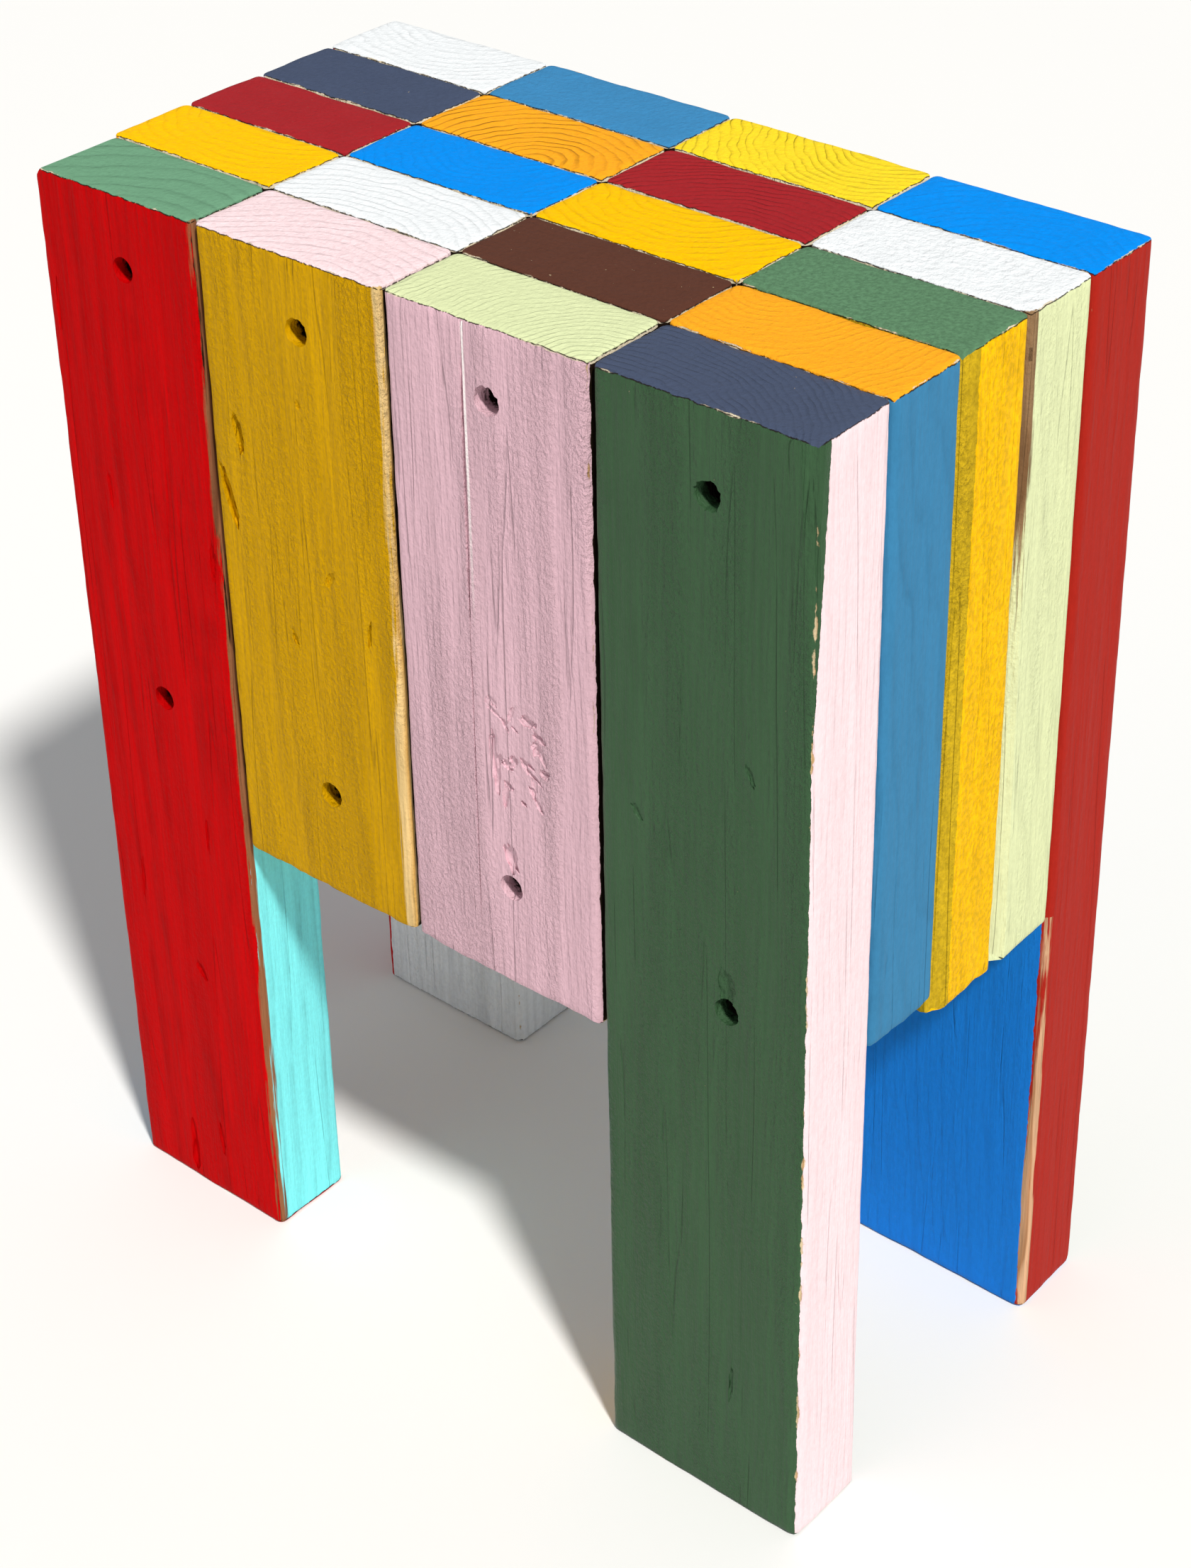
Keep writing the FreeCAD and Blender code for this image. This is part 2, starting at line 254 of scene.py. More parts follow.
    # growth rings about a pith off the block that leans a little: arcs on the ends, long lines on the sides
    pithRight, pithBack, leanX, leanY = look["pith"]
    ringPlace = addNode(tree, "Mapping", {
        "Vector": local, "Location": (-pithRight, -pithBack, 0), "Rotation": (leanX, leanY, 0)})
    ringWander = (recipe["ringWander"], recipe["ringWander"], 0)
    wobbled = addNode(tree, "VectorMath", (patterns["ringWobble"]["Color"], ringWander, ringPlace),
                      operation="MULTIPLY_ADD")
    flat = addNode(tree, "VectorMath", (wobbled, (1, 1, 0)), operation="MULTIPLY")
    radius = addNode(tree, "VectorMath", (flat,), "Value", operation="LENGTH")
    ringCount = addNode(tree, "Math", (radius, look["ringWidth"]), operation="DIVIDE")
    ringPart = addNode(tree, "Math", (ringCount,), operation="FRACT")
    ramp = addNode(tree, "ValToRGB", (ringPart,), None)
    for mark in ramp.color_ramp.elements:
        mark.color = (0, 0, 0, 1)
    for stop, grey in recipe["ringProfile"]:
        ramp.color_ramp.elements.new(stop).color = (grey, grey, grey, 1)
    ring = ramp.outputs["Color"]
    ringClear = addNode(tree, "MapRange", (patch, 0.36, 0.62, 0.25, 1.3))
    ringShow = addNode(tree, "Math", (ring, ringClear), operation="MULTIPLY")

    # bare wood: rubbed arrises, chipped rims and small chips
    rim = addNode(tree, "Math", (nearSide, under["Z"]), operation="MAXIMUM")
    bare = {}
    for worn, wear, reached in (("rim", recipe["rimWear"], rim), ("arris", recipe["arrisRub"], farSide)):
        lost = addNode(tree, "MapRange", (patch, 0.4, 0.6, *wear))
        past = addNode(tree, "Math", (lost, reached), operation="SUBTRACT")
        bare[worn] = addNode(tree, "MapRange", (past, -0.1, 0.15, 0.0, 1.0))
    bare["chips"] = addNode(tree, "MapRange", (fleck, look["chips"], look["chips"] + 0.02, 0.0, 1.0))
    for number, (stripSide, width, skew, reach) in enumerate(look["bareStrips"]):
        # a strip that the brush missed, along an upright arris of the front face
        sign = 1 if stripSide == "right" else -1
        fromSide = addNode(tree, "Math", (side["X"], -sign, half.x), operation="MULTIPLY_ADD")
        fromFront = addNode(tree, "Math", (side["Y"], half.y), operation="ADD")
        sideShare = addNode(tree, "Math", (fromSide, skew), operation="MULTIPLY")
        off = addNode(tree, "Math", (fromFront, 2 - skew, sideShare), operation="MULTIPLY_ADD")
        swing = width * 0.22
        slowWander = addNode(tree, "MapRange", (band, 0.35, 0.65, -swing, swing))
        quickWander = addNode(tree, "MapRange", (fibre, 0.3, 0.7, -1.0, 1.0))
        wandering = addNode(tree, "Math", (slowWander, quickWander), operation="ADD")
        off = addNode(tree, "Math", (off, wandering), operation="ADD")
        strip = addNode(tree, "MapRange", (off, width + 0.3, width - 0.3, 0.0, 1.0))
        if reach == "leg":
            isLeg = addNode(tree, "Math", (1.0, joined), operation="SUBTRACT")
            strip = addNode(tree, "Math", (strip, isLeg), operation="MULTIPLY")
        bare[f"strip{number}"] = strip
    bareness = bare["rim"]
    for part in list(bare.values())[1:]:
        bareness = addNode(tree, "Math", (bareness, part), operation="MAXIMUM")
    wood = addNode(tree, "Mix", {
        "Factor": ring, "A": linearColour(recipe["earlywood"]), "B": linearColour(recipe["latewood"])},
        "Result", data_type="RGBA")
    wood = addNode(tree, "Mix", {
        "Factor": bare["rim"], "A": wood, "B": linearColour(recipe["rimWood"])}, "Result", data_type="RGBA")
    woodTone = addNode(tree, "MapRange", (fibre, 0.35, 0.65, 0.7, 1.1))
    wood = addNode(tree, "HueSaturation", {"Value": woodTone, "Color": wood})

    # hairline checks, on the sides only
    offLine = addNode(tree, "Math", (checks, 0.5), operation="SUBTRACT")
    offLine = addNode(tree, "Math", (offLine,), operation="ABSOLUTE")
    line = addNode(tree, "MapRange", (offLine, 0.002, 0.011, 1.0, 0.0))
    lineShow = addNode(tree, "MapRange", (streak, 0.5, 0.56, 0.0, 1.0))
    line = addNode(tree, "Math", (line, lineShow), operation="MULTIPLY")
    onSides = addNode(tree, "MapRange", (isEnd, 0.0, 1.0, 1.0, 0.0))
    line = addNode(tree, "Math", (line, onSides), operation="MULTIPLY")

    # the film is thin over the hard rings, and the brush left it uneven
    swing = recipe["streakTone"]
    speckle = recipe["mottleTone"]
    streakTone = addNode(tree, "MapRange", (streak, 0.36, 0.64, 1 - swing, 1 + swing * 0.7))
    fibreTone = addNode(tree, "MapRange", (fibre, 0.35, 0.65, 1 - swing * 0.5, 1 + swing * 0.4))
    broadTone = addNode(tree, "Math", (streakTone, fibreTone), operation="MULTIPLY")
    narrowTone = addNode(tree, "Mix", {"Factor": recipe["narrowTone"], "A": 1.0, "B": broadTone}, "Result")
    tone = addNode(tree, "Mix", {"Factor": isBroad, "A": narrowTone, "B": broadTone}, "Result")
    endTone = addNode(tree, "MapRange", (patch, 0.35, 0.65, 0.97, 1.03))
    tone = addNode(tree, "Mix", {"Factor": isEnd, "A": tone, "B": endTone}, "Result")
    mottle = addNode(tree, "MapRange", (sandy, 0.4, 0.6, 1 - speckle, 1 + speckle))
    tone = addNode(tree, "Math", (tone, mottle), operation="MULTIPLY")
    ringStrength = addNode(tree, "MapRange", (
        isEnd, 0.0, 1.0, -recipe["sideTone"], -recipe["endTone"] * look["endGrain"]))
    ringTone = addNode(tree, "Math", (ringShow, ringStrength), operation="MULTIPLY")
    tone = addNode(tree, "Math", (tone, ringTone, tone), operation="MULTIPLY_ADD")
    tone = addNode(tree, "Math", (line, -recipe["lineTone"], tone), operation="MULTIPLY_ADD")
    film = addNode(tree, "HueSaturation", {"Value": tone, "Color": paint})
    colour = addNode(tree, "Mix", {"Factor": bareness, "A": film, "B": wood}, "Result", data_type="RGBA")

    if look["ridge"]:
        # a proud lip of paint beside a long split, drawn in colour only as a near-white line: a painted
        # highlight
        right, bottom = look["ridge"]
        lipPlace = addNode(tree, "Math", (band, 1.2, right), operation="MULTIPLY_ADD")
        offLip = addNode(tree, "Math", (side["X"], lipPlace), operation="SUBTRACT")
        offLip = addNode(tree, "Math", (offLip,), operation="ABSOLUTE")
        lipHighlight = addNode(tree, "MapRange", (offLip, 0.75, 0.35, 0.0, 1.0))
        lipFade = addNode(tree, "MapRange", (side["Z"], bottom, bottom + 60, 0.0, 1.0))
        lipHighlight = addNode(tree, "Math", (lipHighlight, lipFade), operation="MULTIPLY")
        onFace = addNode(tree, "Math", (1.5, under["Y"]), operation="GREATER_THAN")
        lipHighlight = addNode(tree, "Math", (lipHighlight, onFace), operation="MULTIPLY")
        colour = addNode(tree, "Mix", {
            "Factor": lipHighlight, "A": colour, "B": linearColour(recipe["lipHighlight"])}, "Result", data_type="RGBA")

    # a dark ragged line where the end's paint meets the sides'
    seamWidth = recipe["seamLineWidth"]
    seam = addNode(tree, "Math", (lap, nearSide), operation="SUBTRACT")
    seam = addNode(tree, "Math", (seam,), operation="ABSOLUTE")
    darkSeam = addNode(tree, "MapRange", (seam, seamWidth, seamWidth * 0.5, 0.0, 1.0))
    nearRim = addNode(tree, "Math", (rim, recipe["darkJointDepth"]), operation="LESS_THAN")
    seamPatches = addNode(tree, "MapRange", (fleck, 0.38, 0.48, 0.0, 0.9))
    seamPatches = addNode(tree, "Math", (nearRim, seamPatches), operation="MULTIPLY")
    darkSeam = addNode(tree, "Math", (darkSeam, seamPatches), operation="MULTIPLY")
    colour = addNode(tree, "Mix", {
        "Factor": darkSeam, "A": colour, "B": linearColour(recipe["seamDark"])}, "Result", data_type="RGBA")

    # the brush reached only a little way into the screw holes; past its reach the wall turns near-black: bare
    # wood and painted shade
    exact = addNode(tree, "SeparateXYZ", (depth,), None).outputs
    inside = addNode(tree, "Math", (exact["X"], exact["Y"]), operation="MINIMUM")
    inside = addNode(tree, "Math", (inside, exact["Z"]), operation="MINIMUM")
    brushReach = addNode(tree, "MapRange", (fleck, 0.35, 0.65, *recipe["holePaint"]))
    pastBrush = addNode(tree, "Math", (inside, brushReach), operation="SUBTRACT")
    darkInHole = addNode(tree, "MapRange", (pastBrush, 0.0, 2.0, 0.0, 1.0))
    colour = addNode(tree, "Mix", {
        "Factor": darkInHole, "A": colour, "B": linearColour(paints["joint"])}, "Result", data_type="RGBA")

    # relief, in millimetres
    ringHeight = addNode(tree, "MapRange", (
        isEnd, 0.0, 1.0, recipe["sideRings"], recipe["endRings"] * look["endGrain"]))
    height = addNode(tree, "Math", (ringShow, ringHeight), operation="MULTIPLY")
    height = addNode(tree, "Math", (fibre, recipe["fibreRelief"], height), operation="MULTIPLY_ADD")
    height = addNode(tree, "Math", (brush, recipe["brushRelief"], height), operation="MULTIPLY_ADD")
    grain = recipe["grainRelief"]
    sideShare = addNode(tree, "MapRange", (isBroad, 0.0, 1.0, recipe["edgeGrain"], 1.0))
    sandyBands = addNode(tree, "MapRange", (band, 0.42, 0.58, grain * 0.2, grain))
    sandyDepth = addNode(tree, "Math", (sideShare, sandyBands), operation="MULTIPLY")
    sandyDepth = addNode(tree, "Mix", {"Factor": isEnd, "A": sandyDepth, "B": recipe["endSand"]}, "Result")
    height = addNode(tree, "Math", (sandy, sandyDepth, height), operation="MULTIPLY_ADD")
    height = addNode(tree, "Math", (line, -recipe["lineRelief"], height), operation="MULTIPLY_ADD")
    emphasis = addNode(tree, "MapRange", (isBroad, 0.0, 1.0, 1.0, recipe["broadRelief"]))
    emphasis = addNode(tree, "Mix", {"Factor": isEnd, "A": emphasis, "B": 1.0}, "Result")
    height = addNode(tree, "Math", (height, emphasis), operation="MULTIPLY")
    height = addNode(tree, "Math", (bareness, -recipe["paintThickness"], height), operation="MULTIPLY_ADD")
    bump = addNode(tree, "Bump", {"Height": height, "Distance": mm, "Strength": 1.0})

    evenRough = recipe["filmRough"]
    filmRough = addNode(tree, "MapRange", (streak, 0.3, 0.7, evenRough - 0.06, evenRough + 0.1))
    rough = addNode(tree, "Mix", {"Factor": bareness, "A": filmRough, "B": recipe["bareRough"]}, "Result")
    shader = addNode(tree, "BsdfPrincipled", {
        "Base Color": colour, "Roughness": rough, "Normal": bump, "IOR": 1.45,
        "Specular IOR Level": recipe["specular"]})
    addNode(tree, "OutputMaterial", {"Surface": shader}, None)
    return material


# blocks

blockForm = {
    "arris": 3.2,  # mm, rounded by the planer
    "endArris": 0.7,  # mm, left by the saw and the sandpaper
    "arrisSteps": 4,
    "gridStep": 2.5,  # mm between the mesh lines that carry the wear
    "arrisWear": 0.6,  # mm rubbed off an arris at the most
    "wearReach": 5,  # mm from an arris to where its wear stops
    "wearSpread": 6,  # mm below a face to where that wear fades
    "skin": 3.3,  # mm, what counts as lying on a face, the rounding with it
    "footReach": 9,  # mm above the lower end that the saw tore
    "faceWave": 0.15,  # mm the planed faces wander
    "jointInset": 0.12,  # mm a face stands back from its neighbour's
    "outerLap": 1.2,  # mm the paint of an outer broad face laps round its arrises
    "jointLap": -2.8,  # mm, the same for a broad face in a joint, which stops short of them
    "frontJointInset": 0.6,  # mm, between the front blocks, where the joints gape
}
screwHoles = {
    # mm right of the block's middle and below the top; how torn the rim is
    "front": {
        "outer_left": [(3, 29, 0.1), (1, 210, 0.1)],
        "inner_left": [(4, 28, 0.5), (4.5, 217, 0.35)],
        "inner_right": [(1, 27, 0.8), (4, 219, 0.25)],
        "outer_right": [(2.5, 31, 0.8), (11, 227, 0.3)],
    },
    "inner": [(-16, 45, 0.1), (-16, 200, 0.1)],
    "counterbore": (9.5, 20.5),  # mm across and deep
    "clearance": (4.8, 41.5),  # deep enough to come out behind
    "pilot": (4.2, 34.5),
}
screwHoles["middle"] = screwHoles["front"]
dowelHoles = {"across": 10.0, "deep": 26.5, "drops": (75, 160)}


def selectEdges(piece, chosen):
    bpy.ops.mesh.select_all(action="DESELECT")
    mesh = bmesh.from_edit_mesh(piece.data)
    mesh.normal_update()
    for edge in mesh.edges:
        if chosen(edge):
            edge.select_set(True)
    bmesh.update_edit_mesh(piece.data)


def cutAcross(piece, axis, places):
    # cuts the whole piece on planes across one axis
    normal = [0, 0, 0]
    normal[axis] = 1
    for place in places:
        onPlane = [0, 0, 0]
        onPlane[axis] = place
        bpy.ops.mesh.select_all(action="SELECT")
        bpy.ops.mesh.bisect(plane_co=onPlane, plane_no=normal)


def roughBlock(name, low, high):
    # a planed block: rounded long arrises, crisp sawn ends, and an even grid on every face
    arris = blockForm["arris"] * mm
    bpy.ops.object.select_all(action="DESELECT")
    bpy.ops.mesh.primitive_cube_add(size=1, location=(low + high) / 2)
    piece = bpy.context.object
    piece.name = name
    piece.scale = high - low
    bpy.ops.object.transform_apply(location=True, rotation=True, scale=True)
    bpy.ops.object.mode_set(mode="EDIT")
    bpy.ops.mesh.select_mode(type="EDGE")
    selectEdges(piece, lambda edge: abs((edge.verts[1].co - edge.verts[0].co).z) > 1 * mm)
    bpy.ops.mesh.bevel(offset=arris, segments=blockForm["arrisSteps"], affect="EDGES")
    for axis in (0, 1):
        steps = round((high[axis] - low[axis] - 2 * arris) / (blockForm["gridStep"] * mm))
        pace = (high[axis] - low[axis] - 2 * arris) / steps
        cutAcross(piece, axis, [low[axis] + arris + pace * step for step in range(steps + 1)])
    ends = (low.z, high.z)

    def onRim(edge):
        isFlat = [abs(face.normal.z) > 0.9 for face in edge.link_faces]
        offEnd = min(abs(edge.verts[0].co.z - end) for end in ends)
        return any(isFlat) and not all(isFlat) and offEnd < 0.1 * mm

    selectEdges(piece, onRim)
    bpy.ops.mesh.bevel(offset=blockForm["endArris"] * mm, segments=2, affect="EDGES")
    for cuts in (1, round((high.z - low.z) / (2 * blockForm["gridStep"] * mm))):
        selectEdges(piece, lambda edge: abs((edge.verts[1].co - edge.verts[0].co).z) > 20 * mm)
        bpy.ops.mesh.subdivide(number_cuts=cuts)
    bpy.ops.object.mode_set(mode="OBJECT")
    return piece


def wearBlock(piece, low, high, look):
    # rubs the arrises unevenly and lets the faces wander, always inwards; a face with a neighbour
    # stands back a little more
    centre = (low + high) / 2
    half = (high - low) / 2
    shift = Vector((3.17, 7.31, 1.93)) * look["seed"]
    footReach = blockForm["footReach"] * mm
    for vertex in piece.data.vertices:
        local = vertex.co - centre
        depth = [half[axis] - abs(local[axis]) for axis in range(3)]
        middle = sorted(depth)[1]  # an arris is near two faces, so the second nearest tells how close it is
        toEdge = max(0.0, 1 - middle / (blockForm["wearReach"] * mm))
        place = vertex.co / mm
        rub = 0.5 + 0.5 * noise.fractal(place * 0.05 + shift, 0.8, 2.1, 4)
        rub = min(1.0, max(0.0, rub)) ** 1.6 * blockForm["arrisWear"] * mm * toEdge ** 1.5
        along = Vector((place.x * 0.09, place.y * 0.09, place.z * 0.012))
        wave = (0.5 + 0.5 * noise.noise(along + shift)) * blockForm["faceWave"] * mm
        for axis in range(3):
            back = local[axis] > 0
            step = rub * max(0.0, 1 - depth[axis] / (blockForm["wearSpread"] * mm))
            if depth[axis] < blockForm["skin"] * mm:
                step += wave + look["insets"][axis][back] * mm
            vertex.co[axis] -= math.copysign(step, local[axis])
        if local.z < 0 and depth[2] < footReach:
            # the saw left the lower end uneven
            tear = 0.5 + 0.5 * noise.fractal(Vector((place.x * 0.13, place.y * 0.13, 0)) + shift, 1, 2, 3)
            vertex.co.z += max(0.0, tear) * look["raggedFoot"] * mm * (1 - depth[2] / footReach)


def steppedCutter(place, turn, steps, torn, dice):
    # a stepped round plug for cutting a hole: steps are (diameter, depth) in mm, from the mouth inwards
    bpy.ops.object.select_all(action="DESELECT")
    bpy.ops.mesh.primitive_circle_add(vertices=28, radius=steps[0][0] / 2 * mm, fill_type="NGON")
    cutter = bpy.context.object
    bpy.ops.object.mode_set(mode="EDIT")
    across, reached = steps[0]
    for nextAcross, depth in steps[1:]:
        bpy.ops.mesh.extrude_region_move(TRANSFORM_OT_translate={"value": (0, 0, (depth - reached) * mm)})
        if nextAcross != across:
            ratio = nextAcross / across
            bpy.ops.transform.resize(value=(ratio, ratio, 1))
        across, reached = nextAcross, depth
    bpy.ops.mesh.select_all(action="SELECT")
    bpy.ops.mesh.normals_make_consistent(inside=False)
    bpy.ops.object.mode_set(mode="OBJECT")
    for vertex in cutter.data.vertices:
        if vertex.co.z < 1.5 * mm and vertex.co.length > 1 * mm:
            pull = 1 + torn * dice.uniform(-0.06, 0.24)
            vertex.co.x *= pull
            vertex.co.y *= pull
    cutter.location = place
    cutter.rotation_euler = turn
    return cutter


def screwHoleCutters(row, column, low, high, dice):
    cutters = []
    centre = (low + high) / 2
    inwards = (math.radians(-90), 0, 0)
    if row != "back":
        own = screwHoles[row][column] if row in screwHoles else screwHoles["inner"]
        across, deep = screwHoles["counterbore"]
        for right, drop, torn in own:
            clearance, through = screwHoles["clearance"]
            steps = [(across * 1.05, 0), (across * 1.02, 2.0), (across, 3.5), (across, deep),
                     (clearance, deep + 0.01), (clearance, through)]
            place = Vector((centre.x + right * mm, low.y, high.z - drop * mm))
            cutters.append(steppedCutter(place, inwards, steps, torn, dice))
    if row != "front":
        before = rows[rows.index(row) - 1]
        driven = screwHoles[before][column] if before in screwHoles else screwHoles["inner"]
        for right, drop, _ in driven:
            place = Vector((centre.x + right * mm, low.y, high.z - drop * mm))
            steps = [(screwHoles["pilot"][0], 0), screwHoles["pilot"]]
            cutters.append(steppedCutter(place, inwards, steps, 0, dice))
    return cutters


def dowelHoleCutters(column, low, high, dice):
    cutters = []
    centre = (low + high) / 2
    sides = []
    if column != columns[0]:
        sides.append((low.x, math.radians(90)))
    if column != columns[-1]:
        sides.append((high.x, math.radians(-90)))
    for faceX, turn in sides:
        for drop in dowelHoles["drops"]:
            place = Vector((faceX, centre.y, high.z - drop * mm))
            steps = [(dowelHoles["across"], 0), (dowelHoles["across"], dowelHoles["deep"])]
            cutters.append(steppedCutter(place, (0, turn, 0), steps, 0, dice))
    return cutters


def gougeCutter(place, size, turn, seed):
    # a splinter-shaped lump to cut a gouge with: size in mm across, deep and long
    bpy.ops.object.select_all(action="DESELECT")
    bpy.ops.mesh.primitive_ico_sphere_add(subdivisions=3, radius=1)
    cutter = bpy.context.object
    for vertex in cutter.data.vertices:
        spot = vertex.co + Vector((seed, seed * 2.3, 0))
        vertex.co *= 1 + 0.4 * noise.noise(spot * 1.7) + 0.35 * noise.noise(spot * 4.1)
    cutter.scale = [extent / 2 * mm for extent in size]
    cutter.rotation_euler = [math.radians(angle) for angle in turn]
    cutter.location = place
    return cutter


def subtractAll(piece, cutters):
    if not cutters:
        return
    for cutter in cutters:
        onlySelect(cutter)
        bpy.ops.object.transform_apply(location=True, rotation=True, scale=True)
    bpy.ops.object.select_all(action="DESELECT")
    for cutter in cutters:
        cutter.select_set(True)
    bpy.context.view_layer.objects.active = cutters[0]
    bpy.ops.object.join()
    joined = bpy.context.object
    onlySelect(piece)
    cut = piece.modifiers.new("cut", "BOOLEAN")
    cut.object = joined
    cut.operation = "DIFFERENCE"
    cut.solver = "MANIFOLD"
    bpy.ops.object.modifier_apply(modifier=cut.name)
    bpy.data.objects.remove(joined)


def splitOff(piece, corner, across, down):
    # planes off a sliver along an upright arris: across and down are points on the cut
    normal = (across - corner).cross(down - corner).normalized()
    middle = sum((Vector(spot) for spot in piece.bound_box), Vector()) / 8
    if normal.dot(middle - corner) > 0:
        normal.negate()
    onlySelect(piece)
    bpy.ops.object.mode_set(mode="EDIT")
    bpy.ops.mesh.select_all(action="SELECT")
    bpy.ops.mesh.bisect(plane_co=corner, plane_no=normal, use_fill=True, clear_outer=True)
    bpy.ops.object.mode_set(mode="OBJECT")


# the paint on each block's top, front, right, back, left and lower end; the darker copies among them are
# painted shade
blockPaints = {
    "front_left_leg": ("sage", "red", "turquoise", "white", "steelBlue", "red"),
    "front_row_inner_left_block": ("palePink", "goldenInShade", "orange", "goldenInShade", "lemon", "goldenInShade"),
    "front_row_inner_right_block": ("paleGreen", "palePinkInShade", "palePinkInShade", "golden", "navy", "palePinkInShade"),
    "front_right_leg": ("navy", "forest", "palePink", "sage", "golden", "forest"),
    "second_row_outer_left_block": ("golden", "brightBlue", "golden", "golden", "orange", "golden"),
    "second_row_inner_left_block": ("white", "white", "white", "white", "white", "white"),
    "second_row_inner_right_block": ("brown", "brown", "brown", "brown", "brown", "brown"),
    "second_row_outer_right_block": ("orange", "orange", "sideSteel", "orange", "orange", "steelBlue"),
    "middle_row_outer_left_block": ("darkRed", "darkRed", "darkRed", "darkRed", "sage", "darkRed"),
    "middle_row_inner_left_block": (
        "brightBlue", "brightBlue", "brightBlue", "brightBlue", "brightBlue", "brightBlueInShade"),
    "middle_row_inner_right_block": ("golden", "golden", "golden", "golden", "golden", "orange"),
    "middle_row_outer_right_block": ("leafGreen", "goldenWaneInShade", "sideGolden", "leafGreen", "leafGreen", "golden"),
    "fourth_row_outer_left_block": ("navy", "navy", "navy", "navy", "palePink", "navy"),
    "fourth_row_inner_left_block": ("orange", "orange", "orange", "orange", "orange", "lemon"),
    "fourth_row_inner_right_block": ("darkRed", "darkRed", "darkRed", "darkRed", "darkRed", "brick"),
    "fourth_row_outer_right_block": ("white", "white", "sideGreen", "white", "white", "paleGreen"),
    "back_left_leg": ("white", "white", "white", "turquoise", "red", "white"),
    "back_row_inner_left_block": (
        "steelBlue", "steelBlue", "steelBlue", "brightBlue", "steelBlue", "steelBlue"),
    "back_row_inner_right_block": ("lemon", "lemon", "lemon", "palePinkInShade", "lemon", "lemon"),
    "back_right_leg": ("brightBlue", "brightBlueInShade", "brick", "leafGreen", "brightBlueInShade", "brightBlueInShade"),
}
